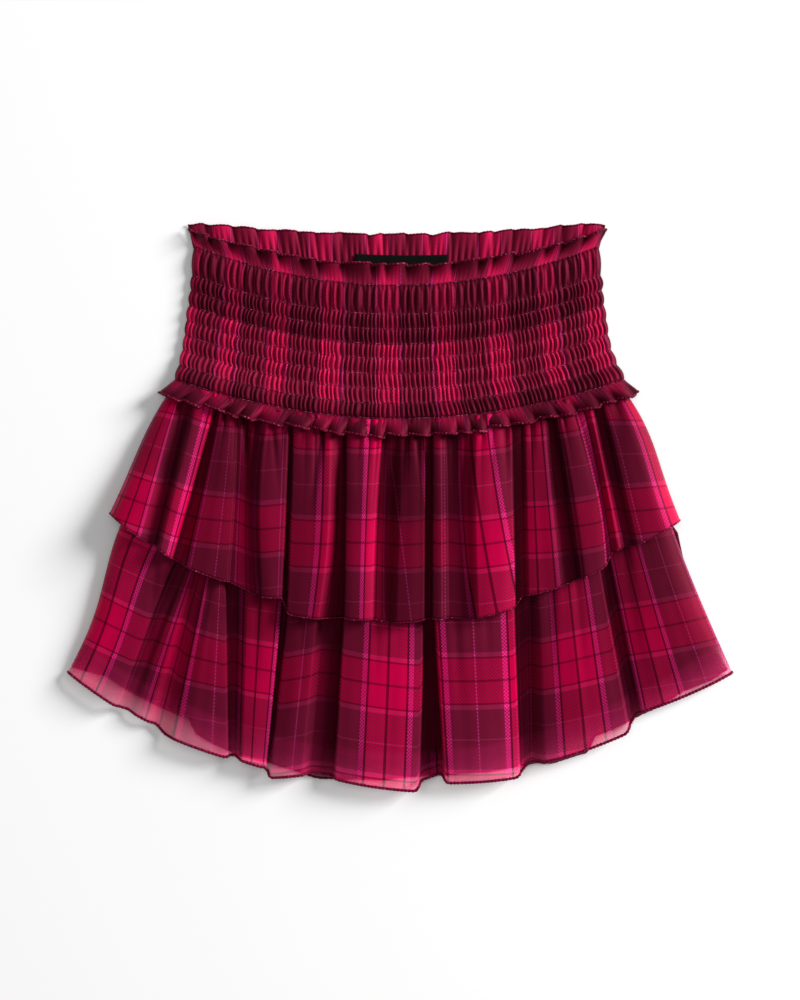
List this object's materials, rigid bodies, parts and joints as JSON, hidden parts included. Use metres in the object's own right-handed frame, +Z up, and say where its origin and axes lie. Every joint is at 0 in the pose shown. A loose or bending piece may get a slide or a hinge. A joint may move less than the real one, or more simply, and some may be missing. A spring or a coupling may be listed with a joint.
{
  "type": "tiered ruffle skirt",
  "caption": "Short smocked-waist skirt in a sheer plaid cloth, with two gathered tiers over a slip lining, laid out flat on its back.",
  "frame": {"origin": "on the table under the middle of the skirt: centre of the bounding box in X and Y, its lowest point in Z", "axes": "+X across the skirt to the viewer's right, +Y from the hem up to the waist, +Z up from the table through the front of the skirt"},
  "size_m": [0.4665, 0.3976, 0.026],
  "materials": {
    "smocked_cloth": "matt, gathered on elastic thread",
    "plaid_cloth": "soft, faint sheen, plaid",
    "sheer_cloth": "sheer, faint sheen, plaid",
    "lining_cloth": "smooth, dark",
    "tab_cloth": "woven, black, blank"
  },
  "bodies": {
    "root": {"yoke_front": "smocked_cloth", "yoke_back": "smocked_cloth", "upper_tier_front": "plaid_cloth", "upper_tier_back": "plaid_cloth", "lower_tier_front": "sheer_cloth", "lower_tier_back": "sheer_cloth", "lining_front": "lining_cloth", "lining_back": "lining_cloth", "inner_tab": "tab_cloth"}
  },
  "joints": []
}
